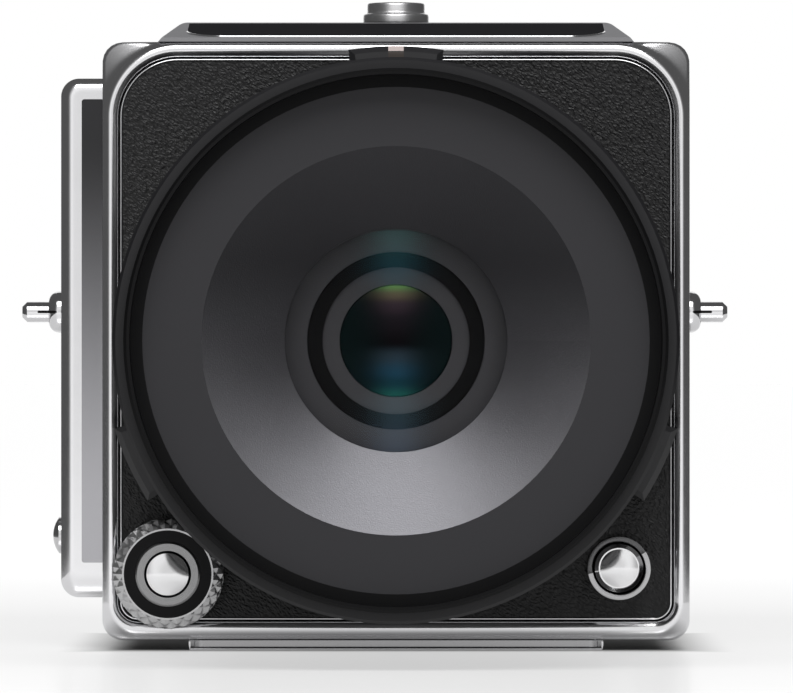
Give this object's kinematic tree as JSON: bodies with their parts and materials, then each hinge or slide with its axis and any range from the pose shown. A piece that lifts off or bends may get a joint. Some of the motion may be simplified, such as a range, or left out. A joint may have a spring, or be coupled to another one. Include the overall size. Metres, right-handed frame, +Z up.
{
  "type": "medium format digital camera",
  "caption": "Medium format digital camera: thin body with polished front frame, wide lens with turning rings, and a swing-off digital back with tilting screen.",
  "frame": {"origin": "mouth of the larger tripod thread, in the underside of the base plate", "axes": "+X to the right seen from the front, the lens points along -Y, +Z up"},
  "size_m": [0.1017, 0.153, 0.094],
  "materials": {
    "frame_chrome": "polished",
    "base_chrome": "polished",
    "leatherette": "pebbled",
    "bush_steel": "turned",
    "body_paint": "satin",
    "side_satin": "satin",
    "lug_steel": "polished",
    "cap_steel": "polished",
    "cover_chrome": "satin",
    "inlay_gloss": "gloss",
    "mount_black": "satin",
    "bayonet_steel": "turned",
    "contact_black": "matt",
    "post_chrome": "satin",
    "guard_chrome": "polished",
    "dial_chrome": "knurled",
    "dial_black": "satin",
    "button_chrome": "polished",
    "lens_black": "black anodised",
    "ring_black": "black anodised",
    "sleeve_metal": "plain",
    "filter_black": "black anodised",
    "face_black": "satin black",
    "cone_metal": "satin",
    "front_glass": "coated",
    "cell_grey": "satin",
    "baffle_black": "matt",
    "inner_glass": "coated",
    "iris_metal": "matt black",
    "blade_black": "blackened",
    "rear_glass": "coated",
    "rear_black": "matt black",
    "back_paint": "satin",
    "trim_chrome": "satin",
    "sensor_black": "matt black",
    "sensor_cover": "coated",
    "rear_paint": "satin",
    "foot_rubber": "matt",
    "release_silver": "satin",
    "screen_black": "gloss",
    "screen_cover": "gloss",
    "key_black": "satin",
    "battery_paint": "satin",
    "latch_silver": "satin",
    "door_paint": "satin"
  },
  "bodies": {
    "camera_body": {"front_frame": "frame_chrome", "front_panel": "leatherette", "thread_bushes": "bush_steel", "body_housing": "body_paint", "side_cover": "side_satin", "lug_left": "lug_steel", "lug_right": "lug_steel", "side_cap": "cap_steel", "top_cover": "cover_chrome", "top_inlay": "inlay_gloss", "base_plate": "base_chrome", "mount_collar": "mount_black", "bayonet_ring": "bayonet_steel", "contact_block": "contact_black", "button_post": "post_chrome", "release_guard": "guard_chrome"},
    "dial": {"dial_wheel": "dial_chrome", "dial_disc": "dial_black"},
    "shutter": {"shutter_button": "button_chrome"},
    "lens_release": {"lens_release_button": "button_chrome"},
    "lens": {"lens_mount": "bayonet_steel", "lens_barrel": "lens_black", "filter_ring": "filter_black", "face_ring": "face_black", "cone_baffle": "cone_metal", "front_element": "front_glass", "element_cell": "cell_grey", "baffle_ring": "baffle_black", "inner_element": "inner_glass", "iris_housing": "iris_metal", "rear_element": "rear_glass", "rear_cell": "rear_black"},
    "control": {"control_ring": "ring_black"},
    "focus_sleeve": {"clutch_sleeve": "sleeve_metal"},
    "focus": {"focus_ring": "ring_black"},
    "iris_drive": {"iris_drive_ring": "blade_black"},
    "digital_back": {"back_housing": "back_paint", "back_trim": "trim_chrome", "back_leather": "leatherette", "sensor_frame": "sensor_black", "sensor_glass": "sensor_cover", "rear_cover": "rear_paint", "rear_foot": "foot_rubber"},
    "release_catch": {"back_release": "release_silver"},
    "screen": {"screen_frame": "screen_black", "screen_glass": "screen_cover"},
    "battery_pack": {"battery": "battery_paint"},
    "battery_lock": {"battery_latch": "latch_silver"},
    "card_flap": {"card_door": "door_paint"},
    "port_flap": {"port_door": "door_paint"},
    "blade_1": {"iris_blade_1": "blade_black"},
    "blade_2": {"iris_blade_2": "blade_black"},
    "blade_3": {"iris_blade_3": "blade_black"},
    "blade_4": {"iris_blade_4": "blade_black"},
    "blade_5": {"iris_blade_5": "blade_black"},
    "key_1": {"rear_button_1": "key_black"},
    "key_2": {"rear_button_2": "key_black"},
    "key_3": {"rear_button_3": "key_black"},
    "key_4": {"rear_button_4": "key_black"},
    "key_5": {"rear_button_5": "key_black"}
  },
  "joints": [
    {"name": "command_dial_turn", "type": "hinge", "parent": "camera_body", "child": "dial", "pos_m": [-0.0325, -0.0123, 0.011], "axis": [0, 1, 0], "continuous": true},
    {"name": "shutter_press", "type": "slide", "parent": "camera_body", "child": "shutter", "axis": [0, 1, 0], "range_m": [0, 0.001], "stiffness_N_per_m": 400},
    {"name": "lens_release_press", "type": "slide", "parent": "camera_body", "child": "lens_release", "axis": [0, 1, 0], "range_m": [0, 0.002], "stiffness_N_per_m": 400},
    {"name": "lens_twist", "type": "hinge", "parent": "camera_body", "child": "lens", "pos_m": [0, -0.018, 0.0442], "axis": [0, 1, 0], "range_deg": [0, 60]},
    {"name": "control_ring_turn", "type": "hinge", "parent": "lens", "child": "control", "pos_m": [0, -0.032, 0.0442], "axis": [0, 1, 0], "continuous": true},
    {"name": "focus_clutch", "type": "slide", "parent": "lens", "child": "focus_sleeve", "axis": [0, 1, 0], "range_m": [0, 0.003]},
    {"name": "focus_turn", "type": "hinge", "parent": "focus_sleeve", "child": "focus", "pos_m": [0, -0.05, 0.0442], "axis": [0, 1, 0], "range_deg": [-45, 45]},
    {"name": "iris_drive_turn", "type": "hinge", "parent": "lens", "child": "iris_drive", "pos_m": [0, -0.041, 0.0442], "axis": [0, -1, 0], "range_deg": [0, 9]},
    {"name": "back_swing", "type": "hinge", "parent": "camera_body", "child": "digital_back", "pos_m": [0, 0.0123, 0.0038], "axis": [-1, 0, 0], "range_deg": [0, 20]},
    {"name": "back_release_slide", "type": "slide", "parent": "digital_back", "child": "release_catch", "axis": [1, 0, 0], "range_m": [0, 0.003], "stiffness_N_per_m": 300},
    {"name": "screen_tilt", "type": "hinge", "parent": "digital_back", "child": "screen", "pos_m": [0, 0.0638, 0.0801], "axis": [1, 0, 0], "range_deg": [0, 90]},
    {"name": "battery_slide", "type": "slide", "parent": "digital_back", "child": "battery_pack", "axis": [-1, 0, 0], "range_m": [0, 0.06]},
    {"name": "battery_lock_slide", "type": "slide", "parent": "digital_back", "child": "battery_lock", "axis": [0, 0, 1], "range_m": [0, 0.003], "stiffness_N_per_m": 200},
    {"name": "card_door_open", "type": "hinge", "parent": "digital_back", "child": "card_flap", "pos_m": [0.0419, 0.025, 0.06], "axis": [0, 0, -1], "range_deg": [0, 90]},
    {"name": "port_door_open", "type": "hinge", "parent": "digital_back", "child": "port_flap", "pos_m": [0.0419, 0.025, 0.026], "axis": [0, 0, -1], "range_deg": [0, 90]},
    {"name": "iris_blade_1_turn", "type": "hinge", "parent": "lens", "child": "blade_1", "pos_m": [0.0229, -0.042, 0.0442], "axis": [0, -1, 0], "range_deg": [0, 22]},
    {"name": "iris_blade_2_turn", "type": "hinge", "parent": "lens", "child": "blade_2", "pos_m": [0.00708, -0.042, 0.06598], "axis": [0, -1, 0], "range_deg": [0, 22]},
    {"name": "iris_blade_3_turn", "type": "hinge", "parent": "lens", "child": "blade_3", "pos_m": [-0.01853, -0.042, 0.05766], "axis": [0, -1, 0], "range_deg": [0, 22]},
    {"name": "iris_blade_4_turn", "type": "hinge", "parent": "lens", "child": "blade_4", "pos_m": [-0.01853, -0.042, 0.03074], "axis": [0, -1, 0], "range_deg": [0, 22]},
    {"name": "iris_blade_5_turn", "type": "hinge", "parent": "lens", "child": "blade_5", "pos_m": [0.00708, -0.042, 0.02242], "axis": [0, -1, 0], "range_deg": [0, 22]},
    {"name": "rear_button_1_press", "type": "slide", "parent": "digital_back", "child": "key_1", "axis": [0, -1, 0], "range_m": [0, 0.0005], "stiffness_N_per_m": 400},
    {"name": "rear_button_2_press", "type": "slide", "parent": "digital_back", "child": "key_2", "axis": [0, -1, 0], "range_m": [0, 0.0005], "stiffness_N_per_m": 400},
    {"name": "rear_button_3_press", "type": "slide", "parent": "digital_back", "child": "key_3", "axis": [0, -1, 0], "range_m": [0, 0.0005], "stiffness_N_per_m": 400},
    {"name": "rear_button_4_press", "type": "slide", "parent": "digital_back", "child": "key_4", "axis": [0, -1, 0], "range_m": [0, 0.0005], "stiffness_N_per_m": 400},
    {"name": "rear_button_5_press", "type": "slide", "parent": "digital_back", "child": "key_5", "axis": [0, -1, 0], "range_m": [0, 0.0005], "stiffness_N_per_m": 400}
  ],
  "couplings": [
    {"joint": "iris_blade_1_turn", "follows": "iris_drive_turn", "ratio": 2.4444},
    {"joint": "iris_blade_2_turn", "follows": "iris_drive_turn", "ratio": 2.4444},
    {"joint": "iris_blade_3_turn", "follows": "iris_drive_turn", "ratio": 2.4444},
    {"joint": "iris_blade_4_turn", "follows": "iris_drive_turn", "ratio": 2.4444},
    {"joint": "iris_blade_5_turn", "follows": "iris_drive_turn", "ratio": 2.4444}
  ]
}
